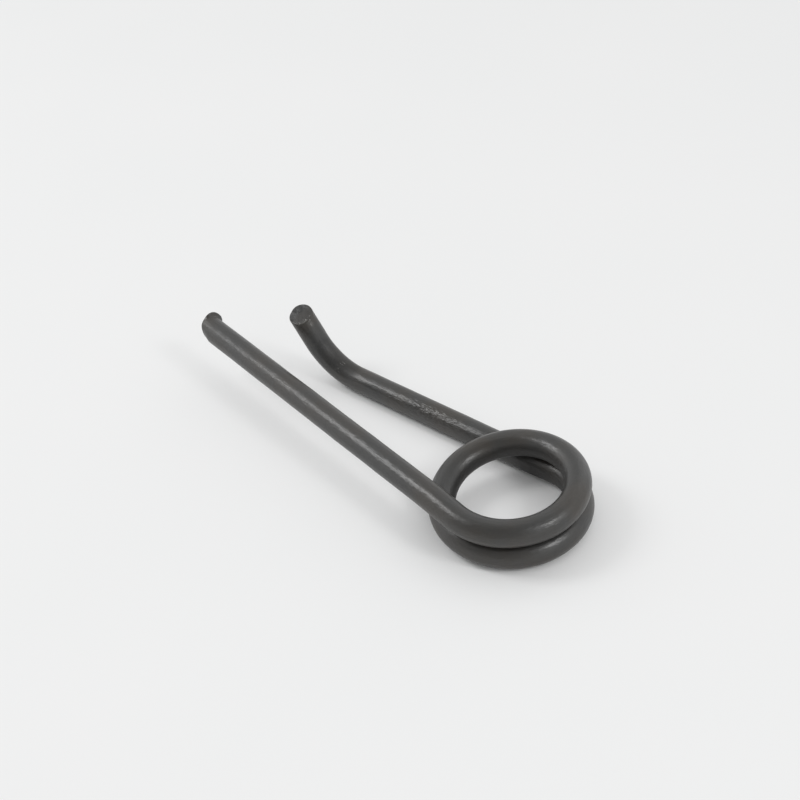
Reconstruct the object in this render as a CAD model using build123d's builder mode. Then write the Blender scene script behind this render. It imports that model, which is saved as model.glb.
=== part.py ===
"""Spring clip bent from one round wire.

A long straight leg runs into a close left-hand coil of one and a half turns. A
shorter leg leaves the coil's other end, runs back beside the first and turns up
into a hook. The clip lies on the ground as it comes to rest, leaning on its coil.
The origin is where the coil's axis meets the ground, and the straight leg points
towards minus X.
"""
import math
import os

from build123d import *

# wire and coil, in mm and degrees
wire_dia = 3.0
coil_inner_dia = 11.8
turn_gap = 0.24
coil_half_turns = 3
coil_arcs = 16
legs_closing_angle = 10.3

# each leg eases from the coil's lead to level, then runs straight
leg_easing = 6.0
straight_leg = 40.2
hook_leg = 23.0

# hook at the end of the shorter leg
hook_bend_radius = 6.9
hook_angle = 62.0
hook_end = 3.65

# each sheared end is slanted from square, towards a side of the wire that is counted
# round from the leg's upper side, and the shear takes a little wire off
straight_end_slant = 23.0
straight_end_side = 142.0
hook_end_slant = 26.5
hook_end_side = 24.0
shear_allowance = 2.0

# the coil is a chain of arcs that each turn and rise by the same step
quarter_turn = 90
half_turn = 180
full_turn = 360
wire_radius = wire_dia / 2
coil_radius = (coil_inner_dia + wire_dia) / 2
coil_pitch = wire_dia + turn_gap
coil_turn = coil_half_turns * half_turn + legs_closing_angle
coil_height = coil_pitch * coil_turn / full_turn
arc_turn = math.radians(coil_turn / coil_arcs)
arc_rise = coil_height / coil_arcs

# the wire's lead where the arcs join, and the easing that takes it out
lead = math.atan2(arc_rise, 2 * coil_radius * math.tan(arc_turn / 2))
lead_angle = math.degrees(lead)
easing_radius = leg_easing / lead
easing_rise = easing_radius * (1 - math.cos(lead))

# both ends are left long, and then sheared
straight_blank = straight_leg + shear_allowance
hook_blank = hook_end + shear_allowance


def on_coil(station):
    """Point on the wire's centre line after this many arcs up from the hook leg."""
    turn = station * arc_turn
    rise = station * arc_rise - coil_height / 2
    return Vector(coil_radius * math.cos(turn), -coil_radius * math.sin(turn), rise)


def along_coil(station):
    """Direction of the wire after this many arcs up from the hook leg."""
    turn = station * arc_turn
    level = math.cos(lead)
    return Vector(-math.sin(turn) * level, -math.cos(turn) * level, math.sin(lead))


def heading(climb):
    """Direction that climbs at this angle, in a leg's own plane."""
    return (math.cos(climb), math.sin(climb))


def shear_plane(wire_end, length, leg_plane, slant, side):
    """Plane that shears a wire off at this length, slanted towards one side of it."""
    along = wire_end % 0
    beside = leg_plane.z_dir
    upper = beside.cross(along)
    across = upper * math.cos(math.radians(side)) - beside * math.sin(math.radians(side))
    facing = along * math.cos(math.radians(slant)) + across * math.sin(math.radians(slant))
    return Plane(origin=wire_end @ 0 + along * length, z_dir=facing)


def ground_slope(turn):
    """Slope of a ground under the hook leg that also meets the coil this far round."""
    rise = easing_rise + coil_pitch * turn / full_turn
    return rise / (coil_radius * (1 - math.cos(math.radians(turn))))


# the coil's axis is Z, and its lower end lies on plus X
coil_foot = on_coil(0)
coil_head = on_coil(coil_arcs)

# upright planes that the legs lie in, with X along the leg and Y up
up = Vector(0, 0, 1)
closing = math.radians(legs_closing_angle)
hook_run = Vector(0, 1, 0)
straight_run = Vector(math.sin(closing), math.cos(closing), 0)
hook_plane = Plane(origin=coil_foot, x_dir=hook_run, z_dir=hook_run.cross(up))
straight_plane = Plane(origin=coil_head, x_dir=straight_run, z_dir=straight_run.cross(up))

# shorter leg and its hook, away from the coil's lower end
with BuildLine(hook_plane) as hook_path:
    hook_ease = JernArc((0, 0), heading(-lead), easing_radius, lead_angle)
    hook_wire = PolarLine(hook_ease @ 1, hook_leg, direction=hook_ease % 1)
    hook_bend = JernArc(hook_wire @ 1, hook_wire % 1, hook_bend_radius, hook_angle)
    hook_tip = PolarLine(hook_bend @ 1, hook_blank, direction=hook_bend % 1)

# straight leg, away from the coil's upper end
with BuildLine(straight_plane) as straight_path:
    straight_ease = JernArc((0, 0), heading(lead), easing_radius, -lead_angle)
    straight_wire = PolarLine(straight_ease @ 1, straight_blank, direction=straight_ease % 1)

# centre line of the whole wire, with the coil between its legs
with BuildLine() as wire_path:
    add(hook_path.line)
    for station in range(coil_arcs):
        TangentArc(on_coil(station), on_coil(station + 1), tangent=along_coil(station))
    add(straight_path.line)

# round wire along that line, with both ends sheared off on their slants
with BuildPart() as bent_wire:
    with BuildSketch(Plane(origin=straight_wire @ 1, z_dir=straight_wire % 1)):
        Circle(wire_radius)
    sweep(path=wire_path.line)
    shears = [
        shear_plane(straight_wire, straight_leg, straight_plane, straight_end_slant, straight_end_side),
        shear_plane(hook_tip, hook_end, hook_plane, hook_end_slant, hook_end_side),
    ]
    for shear in shears:
        with BuildSketch(shear):
            Circle(wire_dia)
        extrude(amount=shear_allowance + wire_dia, mode=Mode.SUBTRACT)

# the ground touches the hook leg all along, and the coil's lower turn
lean = math.atan(min(ground_slope(turn) for turn in range(quarter_turn, full_turn)))
ground_up = Vector(math.sin(lean), 0, math.cos(lean))
hook_level = Vector(coil_radius, 0, coil_foot.Z - easing_rise)
axis_at_ground = (hook_level.dot(ground_up) - wire_radius) / math.cos(lean)
ground = Plane(origin=(0, 0, axis_at_ground), x_dir=-straight_run, z_dir=ground_up)

with BuildPart() as spring_clip:
    add(ground.to_local_coords(bent_wire.part))

os.makedirs("parts", exist_ok=True)
spring_clip.part.label = "spring_clip"
export_step(spring_clip.part, "parts/spring_clip.step")
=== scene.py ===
"""Spring clip bent from one round wire, dressed in its phosphate coat on a pale floor."""
import logging
import math
from dataclasses import dataclass, field
from enum import Enum
from functools import partial
from typing import Any, Callable, NamedTuple, Sequence

import bpy
from mathutils import Matrix, Vector


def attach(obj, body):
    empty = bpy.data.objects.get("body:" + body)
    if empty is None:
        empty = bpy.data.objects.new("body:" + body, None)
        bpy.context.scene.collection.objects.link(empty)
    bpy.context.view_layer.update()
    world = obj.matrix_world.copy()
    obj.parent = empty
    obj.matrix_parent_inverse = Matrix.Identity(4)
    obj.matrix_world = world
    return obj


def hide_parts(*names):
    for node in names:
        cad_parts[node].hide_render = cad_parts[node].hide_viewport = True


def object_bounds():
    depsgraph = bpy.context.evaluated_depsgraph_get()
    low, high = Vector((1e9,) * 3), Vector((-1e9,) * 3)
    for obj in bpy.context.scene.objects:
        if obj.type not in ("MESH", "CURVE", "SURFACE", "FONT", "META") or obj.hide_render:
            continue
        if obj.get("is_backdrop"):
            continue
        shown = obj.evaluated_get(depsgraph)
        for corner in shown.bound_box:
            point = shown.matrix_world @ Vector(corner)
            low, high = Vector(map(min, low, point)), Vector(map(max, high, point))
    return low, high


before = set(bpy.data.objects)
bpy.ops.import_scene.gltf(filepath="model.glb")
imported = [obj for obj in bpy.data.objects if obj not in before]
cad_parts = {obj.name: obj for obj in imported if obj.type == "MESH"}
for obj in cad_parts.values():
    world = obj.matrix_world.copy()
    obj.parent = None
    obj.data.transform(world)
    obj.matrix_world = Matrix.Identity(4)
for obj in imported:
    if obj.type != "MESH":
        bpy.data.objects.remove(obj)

MM = 0.001
FULL_TURN = math.tau
HALF_TURN = math.pi
QUARTER_TURN = math.pi / 2
CAD_NODE = "spring_clip"
CAD_BODY = "root"

# what the centre line carries for the wire, and what the wire's mesh carries for its finish
SECTION = "section"
DRAWN = "drawn_wire"
PRESSED_AND_SHADED = "pressed"
TORN = "torn"
WORN = "worn"
SCUFFED = "scuffed"

# how a range fades in smoothly, and the middle of a noise's values
SMOOTH = {"interpolation_type": "SMOOTHSTEP"}
NOISE_MIDDLE = 0.5

# a colour mix's inputs and output, by number because Blender's names for them repeat
MIX_SHARE, MIX_FROM, MIX_TO = 0, 6, 7
MIXED = 2

log = logging.getLogger("spring_clip")

Field = bpy.types.NodeSocket
Sockets = bpy.types.bpy_prop_collection
AddNode = Callable[..., Sockets]
Range = tuple[float, float]


class WireEnd(Enum):
    """The two sheared ends of the wire."""

    STRAIGHT = "Straight"
    HOOK = "Hook"


class Station(NamedTuple):
    """A place on the wire's centre line, and how much of the full section it has."""

    place: Vector
    section: float


class DrawnWire(NamedTuple):
    """The wire's mesh in its tree, and the fields that say where on the wire a point is."""

    mesh: Field
    radius: Field
    centre: Field
    drawn: Field
    section: Field
    out: Field
    outward: Field


class Trace(NamedTuple):
    """What one step leaves on the wire: a shift, and marks for the finish, painted shade among
    them.
    """

    shift: Field | None = None
    pressed: Field | None = None
    torn: Field | None = None
    worn: Field | None = None
    scuffed: Field | None = None


def linear(code: str) -> tuple[float, float, float, float]:
    """Turns a colour's sRGB hex code to linear light.

    Args:
        code: Six hex digits after a hash sign.

    Returns:
        Red, green, blue and an alpha of one.
    """
    shares = (int(code[i:i + 2], 16) / 255 for i in (1, 3, 5))
    return (*(s / 12.92 if s <= 0.04045 else ((s + 0.055) / 1.055) ** 2.4 for s in shares), 1.0)


def add_node(
    tree: bpy.types.NodeTree,
    kind: str,
    feeds: dict[int | str, Any] | Sequence[Any] = (),
    captures: Sequence[tuple[str, str]] = (),
    **settings: Any,
) -> Sockets:
    """Adds a node to a tree, with its settings, values and links.

    Args:
        tree: Tree that gets the node.
        kind: Blender's name for the kind of node.
        feeds: What goes into the inputs, in order or by number or name: values or outputs.
        captures: Kind and name of each value that a capturing node keeps.
        settings: The node's own properties.

    Returns:
        The new node's outputs.
    """
    node = tree.nodes.new(kind)
    for name, value in settings.items():
        setattr(node, name, value)
    for value_kind, name in captures:
        node.capture_items.new(value_kind, name)
    keyed = feeds if isinstance(feeds, dict) else dict(enumerate(feeds))
    for key, value in keyed.items():
        if isinstance(value, bpy.types.NodeSocket):
            tree.links.new(value, node.inputs[key])
        else:
            node.inputs[key].default_value = value
    return node.outputs


def heading(azimuth: float, elevation: float) -> Vector:
    """Turns two angles to a direction.

    Args:
        azimuth: Degrees round from plus X.
        elevation: Degrees up from level.

    Returns:
        Unit vector that way.
    """
    turn, climb = math.radians(azimuth), math.radians(elevation)
    reach = math.cos(climb)
    return Vector((math.cos(turn) * reach, math.sin(turn) * reach, math.sin(climb)))


def run(start: Vector, along: Vector, length: float, step: float) -> list[Vector]:
    """Points down a straight run.

    Args:
        start: Where the run starts, which isn't among the points.
        along: Its direction.
        length: Its length.
        step: About how far apart the points are.

    Returns:
        The points, the run's end last.
    """
    count = max(1, round(length / step))
    return [start + along * (length * i / count) for i in range(1, count + 1)]


def arc(
    start: Vector, along: Vector, towards: Vector, radius: float, turn: float, step: float
) -> list[Vector]:
    """Points round an arc.

    Args:
        start: Where the arc starts, which isn't among the points.
        along: The wire's direction there.
        towards: Direction from there to the arc's centre.
        radius: The arc's radius.
        turn: Angle that it turns through, in radians.
        step: About how far apart the points are.

    Returns:
        The points, the arc's end last.
    """
    count = max(1, round(radius * turn / step))
    angles = [turn * i / count for i in range(1, count + 1)]
    return [
        start + along * (radius * math.sin(a)) + towards * (radius * (1 - math.cos(a)))
        for a in angles
    ]


@dataclass(frozen=True)
class Shear:
    """How one end of the wire was cut off, in mm and degrees.

    Sides are counted round the wire from its upper side. The blade rolls the edge where it goes in,
    leaves a burr where it comes out, and tears one side of the face.
    """

    slant: float
    slant_side: float
    burr_side: float
    burr_flare: float
    burr_rise: float
    roll_side: float
    roll_inset: float
    tear_side: float


@dataclass(frozen=True)
class PhosphateCoat:
    """Zinc phosphate on drawn spring steel, oiled after coating.

    It gives the eye an almost black grey with a satin gloss. The die's lines run along the wire and
    the crystals mottle it a little. Scuffs break the gloss up, it is darker and duller where a
    tool's pressure or a tear marked it, and worn edges show steel. Inside the coil, and in part
    inside the hook's bend, its darkening is painted shade. Sizes are in mm, and a range is of noise
    values.
    """

    name: str = "phosphated_spring_steel"
    skin: str = "#30302f"
    warm_skin: str = "#34302b"
    torn_skin: str = "#1f1f1e"
    bare_steel: str = "#b4b3af"
    # phosphate crystals under oil
    ior: float = 1.6
    roughness: float = 0.34
    roughness_spread: float = 0.08
    pressed_dullness: float = 0.18
    torn_dullness: float = 0.14
    tone_spread: float = 0.14
    pressed_shade: float = 0.45
    # die lines and crystals are finer than this on the real wire, and are drawn to show
    die_line: float = 0.20
    die_run: float = 14.0
    crystal: float = 0.25
    grain_range: Range = (0.6, 1.4)
    patch: float = 5.0
    patch_range: Range = (0.42, 0.66)
    fleck: float = 0.16
    fleck_run: float = 0.5
    fleck_range: Range = (0.60, 0.72)
    bare_share: float = 0.8
    scuff: float = 0.40
    scuff_run: float = 1.1
    scuff_range: Range = (0.38, 0.62)
    scuff_least: float = 0.30
    detail: float = 2.0
    relief: float = 0.003
    scuff_relief: float = 0.045

    def make(self) -> bpy.types.Material:
        """Builds the finish as a shader.

        Returns:
            The material, which reads the wire's own attributes.
        """
        material = bpy.data.materials.new(self.name)
        material.use_nodes = True
        tree = material.node_tree
        tree.nodes.clear()
        node = partial(add_node, tree)
        drawn = node("ShaderNodeAttribute", attribute_name=DRAWN)["Vector"]
        pressed, torn, worn, scuffed = (
            node("ShaderNodeAttribute", attribute_name=name)["Fac"]
            for name in (PRESSED_AND_SHADED, TORN, WORN, SCUFFED)
        )

        # each pattern lies on the wire as it was before it was bent
        grains = {}
        for name, across, along in (
            ("die", self.die_line, self.die_run),
            ("crystal", self.crystal, self.crystal),
            ("patch", self.patch, self.patch),
            ("fleck", self.fleck, self.fleck_run),
            ("scuff", self.scuff, self.scuff_run),
        ):
            scale = (1 / (across * MM), 1 / (across * MM), 1 / (along * MM))
            spread = node("ShaderNodeVectorMath", (drawn, scale), operation="MULTIPLY")[0]
            noise = {"Vector": spread, "Scale": 1.0, "Detail": self.detail}
            grains[name] = node("ShaderNodeTexNoise", noise)["Fac"]
        grain = node("ShaderNodeMath", (grains["die"], grains["crystal"]), operation="ADD")[0]

        # tone: warm and cool patches, die lines and crystals, what shear and tools left, and
        # painted shade
        warmth = node("ShaderNodeMapRange", (grains["patch"], *self.patch_range))[0]
        skins = {MIX_SHARE: warmth, MIX_FROM: linear(self.skin), MIX_TO: linear(self.warm_skin)}
        skin = node("ShaderNodeMix", skins, data_type="RGBA")[MIXED]
        low, high = 1 - self.tone_spread, 1 + self.tone_spread
        tone = node("ShaderNodeMapRange", (grain, *self.grain_range, low, high))[0]
        # darker where a tool's pressure marked the coat, and as painted shade inside the coil and,
        # in part, inside the hook's bend
        darkening = (pressed, -self.pressed_shade, tone)
        shade = node("ShaderNodeMath", darkening, operation="MULTIPLY_ADD")[0]
        toned = node("ShaderNodeVectorMath", {0: skin, "Scale": shade}, operation="SCALE")[0]
        tears = {MIX_SHARE: torn, MIX_FROM: toned, MIX_TO: linear(self.torn_skin)}
        ragged = node("ShaderNodeMix", tears, data_type="RGBA")[MIXED]
        flecks = node("ShaderNodeMapRange", (grains["fleck"], *self.fleck_range))[0]
        rubbed = node("ShaderNodeMath", (flecks, worn), operation="MULTIPLY")[0]
        rubs = {MIX_SHARE: rubbed, MIX_FROM: ragged, MIX_TO: linear(self.bare_steel)}
        colour = node("ShaderNodeMix", rubs, data_type="RGBA")[MIXED]
        bare = node("ShaderNodeMath", (rubbed, self.bare_share), operation="MULTIPLY")[0]

        # gloss: duller over the crystals, inside the coil, and where a tool's pressure or a tear
        # marked the wire
        half = self.roughness_spread / 2
        dull, bright = self.roughness + half, self.roughness - half
        gloss = node("ShaderNodeMapRange", (grain, *self.grain_range, dull, bright))[0]
        for mark, change in ((pressed, self.pressed_dullness), (torn, self.torn_dullness)):
            gloss = node("ShaderNodeMath", (mark, change, gloss), operation="MULTIPLY_ADD")[0]

        # relief: die lines, crystals and light scuffs all over, deepest on the scuffed stretch
        deep = self.scuff_relief / self.relief
        scratches = node("ShaderNodeMapRange", (grains["scuff"], *self.scuff_range))[0]
        scuffing = node("ShaderNodeMath", (scuffed, self.scuff_least), operation="MAXIMUM")[0]
        scuffs = node("ShaderNodeMath", (scratches, scuffing), operation="MULTIPLY")[0]
        height = node("ShaderNodeMath", (scuffs, deep, grain), operation="MULTIPLY_ADD")[0]
        bump = {"Height": height, "Distance": self.relief * MM, "Strength": 1.0}
        relief = node("ShaderNodeBump", bump)[0]
        surface = node(
            "ShaderNodeBsdfPrincipled",
            {
                "Base Color": colour,
                "Roughness": gloss,
                "Metallic": bare,
                "IOR": self.ior,
                "Normal": relief,
            },
        )[0]
        node("ShaderNodeOutputMaterial", {"Surface": surface})
        return material


@dataclass
class SpringClip:
    """The whole clip, one wire, with its sizes in mm and degrees."""

    name: str = "spring_clip_wire"

    # wire and coil
    wire_dia: float = 3.0
    coil_inner_dia: float = 11.8
    turn_gap: float = 0.24
    coil_half_turns: int = 3
    legs_closing_angle: float = 10.3

    # legs and hook
    leg_easing: float = 6.0
    straight_leg: float = 40.2
    hook_leg: float = 23.0
    hook_bend_radius: float = 6.9
    hook_angle: float = 62.0
    hook_end: float = 3.65

    # sheared ends
    shears: dict[WireEnd, Shear] = field(default_factory=lambda: {
        WireEnd.STRAIGHT: Shear(
            slant=21.0, slant_side=142.0, burr_side=-55.0, burr_flare=0.50, burr_rise=-0.18,
            roll_side=110.0, roll_inset=0.20, tear_side=-54.0,
        ),
        WireEnd.HOOK: Shear(
            slant=26.5, slant_side=24.0, burr_side=-117.0, burr_flare=0.05, burr_rise=0.17,
            roll_side=36.0, roll_inset=0.08, tear_side=-168.0,
        ),
    })
    shear_reach: float = 2.0
    burr_reach: float = 0.60
    roll_reach: float = 1.7
    rim_radius: float = 0.12
    face_dome: float = 0.12
    tear_height: float = 0.50
    tear_grain: float = 0.6
    tear_line: float = -0.05
    tear_fade: float = 0.25
    tear_detail: float = 2.0
    edge_wear: float = 0.30
    # where the rim begins and is full, as a share of the radius, and the face, of the section
    rim_range: Range = (0.6, 0.95)
    face_range: Range = (0.97, 0.9)

    # how far round the wire each trace goes: the cosine from its middle where it begins and is full
    shear_round: Range = (0.3, 1.0)
    mark_round: Range = (0.5, 0.85)
    mandrel_round: Range = (0.72, 0.95)
    scuff_round: Range = (0.5, 0.9)

    # mark of the pin that bent the hook, inside the bend and darker partly as painted shade, with
    # lengths from the bend's start
    mark_middle: float = 3.6
    mark_length: float = 6.6
    mark_tick: float = 2.6
    mark_fade: float = 1.2
    mark_tick_size: float = 0.50
    mark_depth: float = 0.035
    mark_side: float = 10.0

    # painted shade inside the coil, darker and duller, in a band ending just past where the legs
    # leave
    mandrel_slack: float = 0.2
    mandrel_fade: float = 1.2

    # scuffed stretch of the hook leg, measured from the coil
    scuff_middle: float = 11.0
    scuff_length: float = 22.0
    scuff_side: float = 38.0

    # mesh
    facets_round: int = 96
    step: float = 0.25
    end_step: float = 0.10
    face_rings: int = 14
    rim_rings: int = 6
    weld: float = 0.001
    unevenness: float = 0.06
    unevenness_run: float = 3.5
    unevenness_detail: float = 1.0
    seed: int = 7

    def __post_init__(self) -> None:
        """Works out the coil, the legs' directions and the ground that the clip lies on."""
        self.radius = self.wire_dia / 2
        self.coil_radius = (self.coil_inner_dia + self.wire_dia) / 2
        self.pitch = self.wire_dia + self.turn_gap
        self.closing = math.radians(self.legs_closing_angle)
        self.coil_turn = self.coil_half_turns * HALF_TURN + self.closing
        self.coil_height = self.pitch * self.coil_turn / FULL_TURN
        self.lead = math.atan2(self.pitch, FULL_TURN * self.coil_radius)
        self.easing_radius = self.leg_easing / self.lead
        self.easing_rise = self.easing_radius * (1 - math.cos(self.lead))
        self.up = Vector((0, 0, 1))
        self.runs = {
            WireEnd.STRAIGHT: Vector((math.sin(self.closing), math.cos(self.closing), 0)),
            WireEnd.HOOK: Vector((0, 1, 0)),
        }
        self.ground = self.ground_frame()

    def on_coil(self, turn: float) -> Vector:
        """Point on the coil's centre line, this angle up from the hook leg."""
        rise = self.pitch * turn / FULL_TURN - self.coil_height / 2
        return Vector((self.coil_radius * math.cos(turn), -self.coil_radius * math.sin(turn), rise))

    def ground_slope(self, turn: float) -> float:
        """Slope of a ground under the hook leg that also meets the coil this far round."""
        rise = self.easing_rise + self.pitch * turn / FULL_TURN
        return rise / (self.coil_radius * (1 - math.cos(turn)))

    def ground_frame(self) -> Matrix:
        """Finds how the clip lies, on its hook leg and the coil's lower turn.

        Returns:
            Matrix from the coil's own frame in mm to the ground's frame in mm.
        """
        # each degree of the lower turn past its first quarter is tried: the flattest ground holds
        lean = math.atan(min(self.ground_slope(math.radians(turn)) for turn in range(90, 360)))
        up = Vector((math.sin(lean), 0, math.cos(lean)))
        leg_level = Vector((self.coil_radius, 0, -self.coil_height / 2 - self.easing_rise))
        origin = Vector((0, 0, (leg_level.dot(up) - self.radius) / math.cos(lean)))
        back = -self.runs[WireEnd.STRAIGHT]
        turned = Matrix((back, up.cross(back), up)).to_4x4()
        return turned @ Matrix.Translation(-origin)

    def easing(self, end: WireEnd) -> list[Vector]:
        """Follows one leg's easing, away from the coil.

        Args:
            end: Which of the two legs.

        Returns:
            Points from the coil to where the leg runs straight.
        """
        start = self.on_coil(self.coil_turn if end is WireEnd.STRAIGHT else 0)
        up = self.up if end is WireEnd.STRAIGHT else -self.up
        along = self.runs[end]
        level, tilt = math.cos(self.lead), math.sin(self.lead)
        climbing, towards = along * level + up * tilt, along * tilt - up * level
        return arc(start, climbing, towards, self.easing_radius, self.lead, self.step)

    def leg(self, end: WireEnd) -> tuple[list[Vector], Vector]:
        """Follows one leg from the coil to just short of its sheared end.

        Args:
            end: Which of the two legs.

        Returns:
            Points from the coil outwards, and the wire's direction at the end.
        """
        points, along, last = self.easing(end), self.runs[end], self.straight_leg
        if end is WireEnd.HOOK:
            turn = math.radians(self.hook_angle)
            points += run(points[-1], along, self.hook_leg, self.step)
            points += arc(points[-1], along, self.up, self.hook_bend_radius, turn, self.step)
            along, last = along * math.cos(turn) + self.up * math.sin(turn), self.hook_end
        points += run(points[-1], along, last - self.shear_reach, self.step)
        points += run(points[-1], along, self.shear_reach - self.rim_radius, self.end_step)
        return points, along

    def face(self, start: Vector, along: Vector) -> list[Station]:
        """Closes a sheared end: round its rim, then over its face to the middle.

        Args:
            start: Where the rim's rounding starts, on the centre line.
            along: The wire's direction, out of the end.

        Returns:
            Stations outwards from the start, down to no section at all.
        """
        stations = []
        for i in range(1, self.rim_rings + 1):
            a = QUARTER_TURN * i / self.rim_rings
            inset = self.rim_radius * (1 - math.cos(a)) / self.radius
            stations.append(Station(start + along * (self.rim_radius * math.sin(a)), 1 - inset))
        rim = stations[-1]
        for i in range(1, self.face_rings + 1):
            share = 1 - i / self.face_rings
            dome = along * (self.face_dome * (1 - share ** 2))
            stations.append(Station(rim.place + dome, rim.section * share))
        return stations

    def centre_line(self) -> list[Station]:
        """Follows the whole wire, in metres on the ground.

        Returns:
            Stations from the straight leg's face through the coil to the hook's face.
        """
        straight, straight_along = self.leg(WireEnd.STRAIGHT)
        hook, hook_along = self.leg(WireEnd.HOOK)
        count = round(self.coil_radius * self.coil_turn / self.step)
        coil = [self.on_coil(self.coil_turn * (1 - i / count)) for i in range(count + 1)]
        wire = [Station(place, 1.0) for place in straight[::-1] + coil + hook]
        first = self.face(straight[-1], straight_along)[::-1]
        stations = first + wire + self.face(hook[-1], hook_along)
        return [Station(self.ground @ s.place * MM, s.section) for s in stations]

    def side(self, end: WireEnd, along: Vector, angle: float) -> Vector:
        """Finds the direction out of a leg at an angle round it.

        Args:
            end: Which of the two legs.
            along: The wire's direction there.
            angle: Angle from the wire's upper side, in degrees.

        Returns:
            Unit vector on the ground.
        """
        beside = self.runs[end].cross(self.up)
        turn = math.radians(angle)
        across = beside.cross(along) * math.cos(turn) - beside * math.sin(turn)
        return self.ground.to_3x3() @ across

    def end_inputs(self, end: WireEnd) -> dict[str, Any]:
        """Works out what the wire's tree needs at one sheared end.

        Args:
            end: Which of the two ends.

        Returns:
            Values in metres by the name of the tree's input.
        """
        points, along = self.leg(end)
        shear = self.shears[end]
        side = partial(self.side, end, along)
        values = {
            "End": self.ground @ (points[-1] + along * self.rim_radius) * MM,
            "Outward": self.ground.to_3x3() @ along,
            "Slant": side(shear.slant_side) * math.tan(math.radians(shear.slant)),
            "Burr Side": side(shear.burr_side),
            "Burr Flare": shear.burr_flare * MM,
            "Burr Rise": shear.burr_rise * MM,
            "Roll Side": side(shear.roll_side),
            "Roll Inset": shear.roll_inset * MM,
            "Tear Side": side(shear.tear_side),
        }
        return {f"{end.value} {name}": value for name, value in values.items()}

    def inputs(self) -> dict[str, Any]:
        """Works out all named inputs of the wire's tree.

        Returns:
            Values in metres by the name of the tree's input.
        """
        leg_start, along = self.easing(WireEnd.HOOK)[-1], self.runs[WireEnd.HOOK]
        bend_start = leg_start + along * self.hook_leg
        radius = self.hook_bend_radius
        on_bend = partial(arc, bend_start, along, self.up, radius, step=radius)
        mark_turn, tick_turn = self.mark_middle / radius, self.mark_tick / radius
        mark_along = along * math.cos(mark_turn) + self.up * math.sin(mark_turn)
        return {
            "Wire Diameter": self.wire_dia * MM,
            "Facets Round": self.facets_round,
            "Shear Reach": self.shear_reach * MM,
            "Burr Reach": self.burr_reach * MM,
            "Roll Reach": self.roll_reach * MM,
            "Tear Height": self.tear_height * MM,
            "Tear Grain": self.tear_grain * MM,
            "Tear Line": self.tear_line,
            "Edge Wear": self.edge_wear * MM,
            "Mark Centre": self.ground @ on_bend(turn=mark_turn)[-1] * MM,
            "Mark Tick": self.ground @ on_bend(turn=tick_turn)[-1] * MM,
            "Mark Side": self.side(WireEnd.HOOK, mark_along, self.mark_side),
            "Mark Half Length": self.mark_length / 2 * MM,
            "Mark Fade": self.mark_fade * MM,
            "Mark Tick Size": self.mark_tick_size * MM,
            "Mark Depth": self.mark_depth * MM,
            "Coil Centre": self.ground.translation * MM,
            "Coil Axis": self.ground.to_3x3() @ self.up,
            # how far out from the coil's axis the painted shade inside the coil reaches, and its
            # fade
            "Mandrel Reach": (self.coil_radius + self.mandrel_slack) * MM,
            "Mandrel Fade": self.mandrel_fade * MM,
            "Scuff Centre": self.ground @ (leg_start + along * self.scuff_middle) * MM,
            "Scuff Half Length": self.scuff_length / 2 * MM,
            "Scuff Side": self.side(WireEnd.HOOK, along, self.scuff_side),
            "Unevenness": self.unevenness * MM,
            "Unevenness Run": self.unevenness_run * MM,
            "Seed": self.seed,
            **self.end_inputs(WireEnd.STRAIGHT),
            **self.end_inputs(WireEnd.HOOK),
        }

    def drawn_wire(self, node: AddNode, size: Sockets) -> DrawnWire:
        """Adds the nodes that draw round wire along its centre line.

        Args:
            node: Adds a node to the tree.
            size: The tree's inputs.

        Returns:
            The wire and its fields.
        """
        radius = node("ShaderNodeMath", (size["Wire Diameter"], 0.5), operation="MULTIPLY")[0]
        line = node("GeometryNodeMeshToCurve", {"Mesh": size["Geometry"]})[0]
        section = node("GeometryNodeInputNamedAttribute", {"Name": SECTION}, data_type="FLOAT")[0]
        place = node("GeometryNodeInputPosition")[0]
        along = node("GeometryNodeSplineParameter")["Length"]
        kept = node(
            "GeometryNodeCaptureAttribute",
            (line, place, along, section),
            captures=(("VECTOR", "Centre"), ("FLOAT", "Along"), ("FLOAT", "Section")),
        )
        facets = {"Resolution": size["Facets Round"], "Radius": radius}
        circle = node("GeometryNodeCurvePrimitiveCircle", facets)[0]
        around = (("VECTOR", "Round"),)
        profile = node("GeometryNodeCaptureAttribute", (circle, place), captures=around)
        sweep = {"Curve": kept["Geometry"], "Profile Curve": profile["Geometry"], "Scale": section}
        swept = node("GeometryNodeCurveToMesh", sweep)[0]
        poles = {"Geometry": swept, "Distance": self.weld * MM}
        closed = node("GeometryNodeMergeByDistance", poles)[0]
        centre, section_share = kept["Centre"], kept["Section"]
        out = node("ShaderNodeVectorMath", (place, centre), operation="SUBTRACT")[0]
        shrunk = {0: profile["Round"], "Scale": section_share}
        spot = node("ShaderNodeVectorMath", shrunk, operation="SCALE")[0]
        spot_at = node("ShaderNodeSeparateXYZ", (spot,))
        drawn = node("ShaderNodeCombineXYZ", (spot_at["X"], spot_at["Y"], kept["Along"]))[0]
        outward = node("ShaderNodeVectorMath", (out,), operation="NORMALIZE")[0]
        return DrawnWire(closed, radius, centre, drawn, section_share, out, outward)

    def unevenness_trace(self, node: AddNode, size: Sockets, wire: DrawnWire) -> Trace:
        """Adds the nodes that make the drawn wire a little uneven.

        Args:
            node: Adds a node to the tree.
            size: The tree's inputs.
            wire: The wire and its fields.

        Returns:
            A shift in and out.
        """
        scale = node("ShaderNodeMath", (1.0, size["Unevenness Run"]), operation="DIVIDE")[0]
        noise = {"Vector": wire.drawn, "W": size["Seed"], "Scale": scale}
        noise["Detail"] = self.unevenness_detail
        wave = node("ShaderNodeTexNoise", noise, noise_dimensions="4D")["Fac"]
        swing = node("ShaderNodeMath", (wave, NOISE_MIDDLE), operation="SUBTRACT")[0]
        swell = node("ShaderNodeMath", (swing, size["Unevenness"]), operation="MULTIPLY")[0]
        moved = {0: wire.outward, "Scale": swell}
        return Trace(shift=node("ShaderNodeVectorMath", moved, operation="SCALE")[0])

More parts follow.
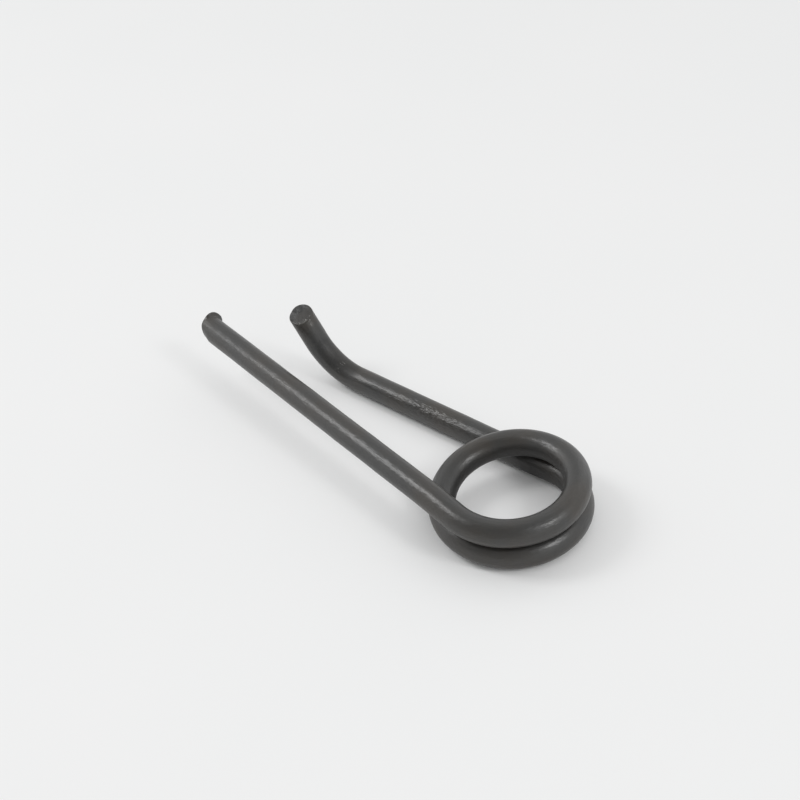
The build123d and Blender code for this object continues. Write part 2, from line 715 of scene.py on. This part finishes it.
    def tool_trace(self, node: AddNode, size: Sockets, wire: DrawnWire) -> Trace:
        """Adds the nodes for the bending tool's mark where the hook starts, darker partly as
        painted shade.

        Args:
            node: Adds a node to the tree.
            size: The tree's inputs.
            wire: The wire and its fields.

        Returns:
            A shallow dent, dulled by the tool and darker partly as painted shade, with a worn tick
            in it.
        """
        half, tick_size = size["Mark Half Length"], size["Mark Tick Size"]
        past = node("ShaderNodeMath", (half, size["Mark Fade"]), operation="ADD")[0]
        from_centre, from_tick = (
            node("ShaderNodeVectorMath", (wire.centre, size[name]), operation="DISTANCE")[1]
            for name in ("Mark Centre", "Mark Tick")
        )
        side = size["Mark Side"]
        aim = node("ShaderNodeVectorMath", (wire.outward, side), operation="DOT_PRODUCT")[1]
        around = node("ShaderNodeMapRange", (aim, *self.mark_round), **SMOOTH)[0]
        length = node("ShaderNodeMapRange", (from_centre, half, past, 1.0, 0.0), **SMOOTH)[0]
        tick = node("ShaderNodeMapRange", (from_tick, 0.0, tick_size, 1.0, 0.0), **SMOOTH)[0]
        pressed = node("ShaderNodeMath", (length, around), operation="MULTIPLY")[0]
        worn = node("ShaderNodeMath", (tick, around), operation="MULTIPLY")[0]
        dent = node("ShaderNodeMath", (pressed, size["Mark Depth"]), operation="MULTIPLY")[0]
        inward = node("ShaderNodeMath", (dent, -1.0), operation="MULTIPLY")[0]
        moved = {0: wire.outward, "Scale": inward}
        shift = node("ShaderNodeVectorMath", moved, operation="SCALE")[0]
        return Trace(shift=shift, pressed=pressed, worn=worn)

    def mandrel_trace(self, node: AddNode, size: Sockets, wire: DrawnWire) -> Trace:
        """Adds the nodes for the painted shade inside the coil: a darker, duller band.

        Args:
            node: Adds a node to the tree.
            size: The tree's inputs.
            wire: The wire and its fields.

        Returns:
            Where the coil's inside is painted darker as shade and made duller.
        """
        reach, middle = size["Mandrel Reach"], size["Coil Centre"]
        end = node("ShaderNodeMath", (reach, size["Mandrel Fade"]), operation="ADD")[0]
        to_centre = node("ShaderNodeVectorMath", (middle, wire.centre), operation="SUBTRACT")[0]
        risen = node("ShaderNodeVectorMath", (to_centre, size["Coil Axis"]), operation="PROJECT")[0]
        to_axis = node("ShaderNodeVectorMath", (to_centre, risen), operation="SUBTRACT")[0]
        away = node("ShaderNodeVectorMath", (to_axis,), operation="LENGTH")[1]
        inward = node("ShaderNodeVectorMath", (to_axis,), operation="NORMALIZE")[0]
        aim = node("ShaderNodeVectorMath", (wire.outward, inward), operation="DOT_PRODUCT")[1]
        around = node("ShaderNodeMapRange", (aim, *self.mandrel_round), **SMOOTH)[0]
        wound = node("ShaderNodeMapRange", (away, reach, end, 1.0, 0.0), **SMOOTH)[0]
        return Trace(pressed=node("ShaderNodeMath", (around, wound), operation="MULTIPLY")[0])

    def scuff_trace(self, node: AddNode, size: Sockets, wire: DrawnWire) -> Trace:
        """Adds the nodes for the scuffed stretch of the hook leg.

        Args:
            node: Adds a node to the tree.
            size: The tree's inputs.
            wire: The wire and its fields.

        Returns:
            Where the wire is scuffed.
        """
        middle, half, side = (size[f"Scuff {name}"] for name in ("Centre", "Half Length", "Side"))
        away = node("ShaderNodeVectorMath", (wire.centre, middle), operation="DISTANCE")[1]
        length = node("ShaderNodeMapRange", (away, 0.0, half, 1.0, 0.0), **SMOOTH)[0]
        aim = node("ShaderNodeVectorMath", (wire.outward, side), operation="DOT_PRODUCT")[1]
        around = node("ShaderNodeMapRange", (aim, *self.scuff_round), **SMOOTH)[0]
        return Trace(scuffed=node("ShaderNodeMath", (length, around), operation="MULTIPLY")[0])

    def shear_trace(self, end: WireEnd, node: AddNode, size: Sockets, wire: DrawnWire) -> Trace:
        """Adds the nodes for what the shear did to one end of the wire.

        Args:
            end: Which of the two ends.
            node: Adds a node to the tree.
            size: The tree's inputs.
            wire: The wire and its fields.

        Returns:
            The end's slant, burr, rolled edge and torn side, with the rolled edge worn.
        """
        own = partial("{} {}".format, end.value)
        end_middle = size[own("End")]
        away = node("ShaderNodeVectorMath", (wire.centre, end_middle), operation="DISTANCE")[1]
        reach = node("ShaderNodeVectorMath", (wire.out,), operation="LENGTH")[1]
        rim_share = node("ShaderNodeMath", (reach, wire.radius), operation="DIVIDE")[0]
        rim = node("ShaderNodeMapRange", (rim_share, *self.rim_range), **SMOOTH)[0]
        near = {
            name: node("ShaderNodeMapRange", (away, 0.0, size[name], 1.0, 0.0), **SMOOTH)[0]
            for name in ("Shear Reach", "Burr Reach", "Roll Reach", "Edge Wear")
        }
        sides = {}
        for name in ("Burr", "Roll"):
            side, closeness = size[own(f"{name} Side")], near[f"{name} Reach"]
            aim = node("ShaderNodeVectorMath", (wire.outward, side), operation="DOT_PRODUCT")[1]
            around = node("ShaderNodeMapRange", (aim, *self.shear_round), **SMOOTH)[0]
            sides[name] = node("ShaderNodeMath", (around, closeness), operation="MULTIPLY")[0]

        # the side of the face under the blade's pressure, the side that tore, and the worn edge
        face = node("ShaderNodeMapRange", (wire.section, *self.face_range))[0]
        own_face = node("ShaderNodeMath", (face, near["Shear Reach"]), operation="MULTIPLY")[0]
        tear_side = size[own("Tear Side")]
        across = node("ShaderNodeVectorMath", (wire.out, tear_side), operation="DOT_PRODUCT")[1]
        across_share = node("ShaderNodeMath", (across, wire.radius), operation="DIVIDE")[0]
        tear_full = node("ShaderNodeMath", (size["Tear Line"], self.tear_fade), operation="ADD")[0]
        tear = node("ShaderNodeMapRange", (across_share, size["Tear Line"], tear_full), **SMOOTH)[0]
        torn = node("ShaderNodeMath", (own_face, tear), operation="MULTIPLY")[0]
        pressed = node("ShaderNodeMath", (own_face, torn), operation="SUBTRACT")[0]
        edge = node("ShaderNodeMath", (near["Edge Wear"], rim), operation="MULTIPLY")[0]
        worn = node("ShaderNodeMath", (edge, sides["Roll"]), operation="MULTIPLY")[0]
        scale = node("ShaderNodeMath", (1.0, size["Tear Grain"]), operation="DIVIDE")[0]
        noise = {"Vector": wire.drawn, "W": size["Seed"], "Scale": scale}
        noise["Detail"] = self.tear_detail
        rough = node("ShaderNodeTexNoise", noise, noise_dimensions="4D")["Fac"]
        swing = node("ShaderNodeMath", (rough, NOISE_MIDDLE), operation="SUBTRACT")[0]
        crag = node("ShaderNodeMath", (swing, size["Tear Height"]), operation="MULTIPLY")[0]

        # along the wire go the slant, the raised burr and the torn side of the face, and out of it
        # the burr's flare and the rolled edge
        slant, flared, rolled = (size[own(name)] for name in ("Slant", "Burr Flare", "Roll Inset"))
        slope = node("ShaderNodeVectorMath", (wire.out, slant), operation="DOT_PRODUCT")[1]
        slide = node("ShaderNodeMath", (slope, near["Shear Reach"]), operation="MULTIPLY")[0]
        lip = node("ShaderNodeMath", (sides["Burr"], rim), operation="MULTIPLY")[0]
        raised = node("ShaderNodeMath", (lip, size[own("Burr Rise")]), operation="MULTIPLY")[0]
        ragged = node("ShaderNodeMath", (crag, torn, raised), operation="MULTIPLY_ADD")[0]
        longer = node("ShaderNodeMath", (ragged, slide), operation="SUBTRACT")[0]
        flare = node("ShaderNodeMath", (sides["Burr"], flared), operation="MULTIPLY")[0]
        inset = node("ShaderNodeMath", (sides["Roll"], rolled), operation="MULTIPLY")[0]
        swell = node("ShaderNodeMath", (flare, inset), operation="SUBTRACT")[0]
        wider = node("ShaderNodeMath", (swell, rim_share), operation="MULTIPLY")[0]
        stretch = {0: size[own("Outward")], "Scale": longer}
        lengthened = node("ShaderNodeVectorMath", stretch, operation="SCALE")[0]
        spread = {0: wire.outward, "Scale": wider}
        widened = node("ShaderNodeVectorMath", spread, operation="SCALE")[0]
        shift = node("ShaderNodeVectorMath", (lengthened, widened), operation="ADD")[0]
        return Trace(shift=shift, pressed=pressed, torn=torn, worn=worn)

    def form_tree(self, values: dict[str, Any]) -> bpy.types.NodeTree:
        """Builds the tree that draws the wire, with every trace of its making and its painted
        shade.

        Args:
            values: The tree's inputs, which give each socket its kind.

        Returns:
            The geometry tree.
        """
        tree = bpy.data.node_groups.new("bent_wire", "GeometryNodeTree")
        tree.is_modifier = True
        tree.interface.new_socket("Geometry", in_out="INPUT", socket_type="NodeSocketGeometry")
        kinds = {int: "NodeSocketInt", float: "NodeSocketFloat", Vector: "NodeSocketVector"}
        for name, value in values.items():
            tree.interface.new_socket(name, in_out="INPUT", socket_type=kinds[type(value)])
        tree.interface.new_socket("Material", in_out="INPUT", socket_type="NodeSocketMaterial")
        tree.interface.new_socket("Geometry", in_out="OUTPUT", socket_type="NodeSocketGeometry")
        node = partial(add_node, tree)
        size = node("NodeGroupInput")
        wire = self.drawn_wire(node, size)
        steps = (
            self.unevenness_trace,
            self.tool_trace,
            self.mandrel_trace,
            self.scuff_trace,
            partial(self.shear_trace, WireEnd.STRAIGHT),
            partial(self.shear_trace, WireEnd.HOOK),
        )
        traces = [step(node, size, wire) for step in steps]

        # the shifts add up, and of each mark the strongest shows
        shifts = [trace.shift for trace in traces if trace.shift]
        shift = shifts[0]
        for other in shifts[1:]:
            shift = node("ShaderNodeVectorMath", (shift, other), operation="ADD")[0]
        made = node("GeometryNodeSetPosition", {"Geometry": wire.mesh, "Offset": shift})[0]
        kept = {DRAWN: wire.drawn}
        for name in (PRESSED_AND_SHADED, TORN, WORN, SCUFFED):
            marks = [mark for trace in traces if (mark := getattr(trace, name))]
            kept[name] = marks[0]
            for other in marks[1:]:
                kept[name] = node("ShaderNodeMath", (kept[name], other), operation="MAXIMUM")[0]
        for name, value in kept.items():
            kind = "FLOAT_VECTOR" if name == DRAWN else "FLOAT"
            stored = {"Geometry": made, "Name": name, "Value": value}
            made = node("GeometryNodeStoreNamedAttribute", stored, data_type=kind)[0]
        smooth = node("GeometryNodeSetShadeSmooth", {"Geometry": made})[0]
        real = node("GeometryNodeRealizeInstances", {"Geometry": smooth})[0]
        coat = {"Geometry": real, "Material": size["Material"]}
        dressed = node("GeometryNodeSetMaterial", coat)[0]
        node("NodeGroupOutput", {"Geometry": dressed})
        return tree

    def make(self, finish: PhosphateCoat) -> bpy.types.Object:
        """Bends the wire and dresses it.

        Args:
            finish: The wire's coat.

        Returns:
            The finished piece, a plain mesh at the origin.
        """
        stations = self.centre_line()
        line = bpy.data.meshes.new("centre_line")
        links = [(i, i + 1) for i in range(len(stations) - 1)]
        line.from_pydata([s.place for s in stations], links, [])
        sections = line.attributes.new(SECTION, "FLOAT", "POINT")
        sections.data.foreach_set("value", [s.section for s in stations])
        carrier = bpy.data.objects.new("centre_line", line)
        bpy.context.scene.collection.objects.link(carrier)
        values = self.inputs()
        tree = self.form_tree(values)
        values["Material"] = finish.make()
        modifier = carrier.modifiers.new("bent_wire", "NODES")
        modifier.node_group = tree
        for socket in tree.interface.items_tree:
            if socket.in_out == "INPUT" and socket.name in values:
                value = values[socket.name]
                modifier[socket.identifier] = tuple(value) if isinstance(value, Vector) else value
        evaluated = carrier.evaluated_get(bpy.context.evaluated_depsgraph_get())
        mesh = bpy.data.meshes.new_from_object(evaluated)
        mesh.name = self.name
        carrier.modifiers.remove(modifier)
        bpy.data.objects.remove(carrier)
        piece = bpy.data.objects.new(self.name, mesh)
        bpy.context.scene.collection.objects.link(piece)
        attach(piece, CAD_BODY)
        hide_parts(CAD_NODE)
        return piece


@dataclass(frozen=True)
class FloorPaper:
    """Matt white paper on a table: a pale, even grey with no gloss to speak of.

    Its glow is the share of the paper that the camera and the wire's gloss see as if fully lit. The
    glow fades in the shade close by the wire, which contact gives the reach of, in mm, and
    contact_power the depth.
    """

    name: str = "white_paper"
    paper: str = "#efefef"
    shade: str = "#eceded"
    mottle: float = 40.0
    roughness: float = 0.9
    glow: float = 0.50
    contact: float = 7.0
    contact_power: float = 2.0
    contact_samples: int = 4

    def make(self) -> bpy.types.Material:
        """Builds the paper as a shader.

        Returns:
            The material, which reads Object coordinates.
        """
        material = bpy.data.materials.new(self.name)
        material.use_nodes = True
        tree = material.node_tree
        tree.nodes.clear()
        node = partial(add_node, tree)
        place = node("ShaderNodeTexCoord")["Object"]
        clouds = {"Vector": place, "Scale": 1 / (self.mottle * MM)}
        cloud = node("ShaderNodeTexNoise", clouds)["Fac"]
        tones = {MIX_SHARE: cloud, MIX_FROM: linear(self.paper), MIX_TO: linear(self.shade)}
        colour = node("ShaderNodeMix", tones, data_type="RGBA")[MIXED]
        lit = node(
            "ShaderNodeBsdfPrincipled",
            {"Base Color": colour, "Roughness": self.roughness, "Specular IOR Level": 0.0},
        )[0]
        rays = node("ShaderNodeLightPath")
        seen = rays["Is Camera Ray"]
        for other in ("Is Glossy Ray", "Is Transmission Ray"):
            seen = node("ShaderNodeMath", (seen, rays[other]), operation="MAXIMUM")[0]
        reach = {"Distance": self.contact * MM}
        clear = node("ShaderNodeAmbientOcclusion", reach, samples=self.contact_samples)["AO"]
        unshaded = node("ShaderNodeMath", (clear, self.contact_power), operation="POWER")[0]
        open_glow = node("ShaderNodeMath", (unshaded, self.glow), operation="MULTIPLY")[0]
        share = node("ShaderNodeMath", (seen, open_glow), operation="MULTIPLY")[0]
        glowing = node("ShaderNodeEmission", {"Color": colour, "Strength": 1.0})[0]
        surface = node("ShaderNodeMixShader", (share, lit, glowing))[0]
        node("ShaderNodeOutputMaterial", {"Surface": surface})
        return material


@dataclass(frozen=True)
class Softbox:
    """A flat lamp that faces the clip, with its angles in degrees and its sizes in metres.

    Its share is how much of the floor's light it gives.
    """

    name: str
    azimuth: float
    elevation: float
    share: float
    width: float
    height: float
    distance: float = 0.40

    def place(self, target: Vector) -> None:
        """Hangs the lamp so that it faces a point.

        Args:
            target: What the lamp faces.
        """
        lamp = bpy.data.lights.new(self.name, "AREA")
        lamp.shape = "RECTANGLE"
        lamp.size, lamp.size_y = self.width, self.height
        # white paper shows as plain white under pi watts per square metre
        slant = math.sin(math.radians(self.elevation))
        lamp.energy = self.share * (math.pi * self.distance) ** 2 / slant
        box = bpy.data.objects.new(self.name, lamp)
        towards = heading(self.azimuth, self.elevation)
        box.location = target + towards * self.distance
        box.rotation_euler = towards.to_track_quat("Z", "Y").to_euler()
        bpy.context.scene.collection.objects.link(box)


class Shade(NamedTuple):
    """A dark part of the room: angles in degrees, and its fade by the cosine from its middle."""

    azimuth: float
    elevation: float
    level: float
    edge: float
    core: float


@dataclass
class Studio:
    """Floor, light and camera, with angles in degrees and sizes in metres."""

    floor_size: float = 6.0
    lamps: tuple[Softbox, ...] = (
        Softbox(
            "left_softbox", azimuth=-140.0, elevation=46.0, share=0.18, width=0.10, height=0.15
        ),
        Softbox(
            "right_softbox", azimuth=16.0, elevation=41.0, share=0.13, width=0.08, height=0.10
        ),
    )

    # the room's own light, weak on the camera's side, low behind the clip and low on the right
    horizon: float = 1.27
    zenith: float = 0.63
    # sine of the elevation at which the horizon's light ends and the zenith's begins
    dimming: Range = (0.6, 0.97)
    room_colour: str = "#ffffff"
    shades: tuple[Shade, ...] = (
        Shade(azimuth=-68.0, elevation=35.0, level=0.38, edge=0.40, core=0.85),
        Shade(azimuth=149.0, elevation=12.0, level=0.58, edge=0.72, core=0.96),
        Shade(azimuth=50.0, elevation=5.0, level=0.72, edge=0.50, core=0.90),
    )

    eye: tuple[float, float, float] = (0.092078, -0.079080, 0.110980)
    view_azimuth: float = 54.528
    view_elevation: float = 37.737
    view_roll: float = -5.750
    lens: float = 67.768
    sensor: float = 36.0
    nearest: float = 0.01

    def lay_floor(self, finish: FloorPaper) -> None:
        """Lays the floor under the clip.

        Args:
            finish: The floor's finish.
        """
        half = self.floor_size / 2
        mesh = bpy.data.meshes.new("floor")
        corners = [(-half, -half, 0), (half, -half, 0), (half, half, 0), (-half, half, 0)]
        mesh.from_pydata(corners, [], [(0, 1, 2, 3)])
        mesh.materials.append(finish.make())
        floor = bpy.data.objects.new("floor", mesh)
        bpy.context.scene.collection.objects.link(floor)
        floor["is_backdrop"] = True
        log.info("floor: %s", finish.name)

    def light(self, target: Vector) -> None:
        """Hangs the lamps and sets the room's own light.

        Args:
            target: What the lamps face.
        """
        for lamp in self.lamps:
            lamp.place(target)
            log.info("%s: %.0f%% of the floor's light", lamp.name, lamp.share * 100)
        world = bpy.data.worlds.new("studio_room")
        world.use_nodes = True
        tree = world.node_tree
        tree.nodes.clear()
        node = partial(add_node, tree)
        towards = node("ShaderNodeTexCoord")["Generated"]
        height = node("ShaderNodeSeparateXYZ", (towards,))[2]
        strength = node("ShaderNodeMapRange", (height, *self.dimming, self.horizon, self.zenith))[0]
        for shade in self.shades:
            dark = tuple(heading(shade.azimuth, shade.elevation))
            facing = node("ShaderNodeVectorMath", (towards, dark), operation="DOT_PRODUCT")[1]
            fade = (facing, shade.edge, shade.core, 1.0, shade.level)
            dimmed = node("ShaderNodeMapRange", fade, **SMOOTH)[0]
            strength = node("ShaderNodeMath", (strength, dimmed), operation="MULTIPLY")[0]
        light = {"Color": linear(self.room_colour), "Strength": strength}
        room = node("ShaderNodeBackground", light)[0]
        node("ShaderNodeOutputWorld", {"Surface": room})
        bpy.context.scene.world = world

    def set_camera(self) -> None:
        """Stands the camera where the photograph was taken from."""
        forward = -heading(self.view_azimuth - 90, self.view_elevation)
        level = heading(self.view_azimuth, 0)
        rise = level.cross(forward)
        roll = math.radians(self.view_roll)
        right = level * math.cos(roll) + rise * math.sin(roll)
        up = rise * math.cos(roll) - level * math.sin(roll)
        lens = bpy.data.cameras.new("camera")
        lens.lens, lens.sensor_width = self.lens, self.sensor
        lens.clip_start = self.nearest
        camera = bpy.data.objects.new("camera", lens)
        turned = Matrix((right, up, -forward)).transposed().to_4x4()
        camera.matrix_world = Matrix.Translation(Vector(self.eye)) @ turned
        bpy.context.scene.collection.objects.link(camera)
        bpy.context.scene.camera = camera


def main() -> None:
    """Builds the clip and its studio."""
    logging.basicConfig(level=logging.INFO, format="%(name)s %(message)s")
    cad_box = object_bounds()
    bpy.context.scene.view_settings.view_transform = "Standard"
    clip = SpringClip().make(PhosphateCoat())
    log.info("%s: %d faces, %s", clip.name, len(clip.data.polygons), clip.data.materials[0].name)
    low, high = cad_box
    studio = Studio()
    studio.lay_floor(FloorPaper())
    studio.light((low + high) / 2)
    studio.set_camera()


if __name__ == "__main__":
    main()
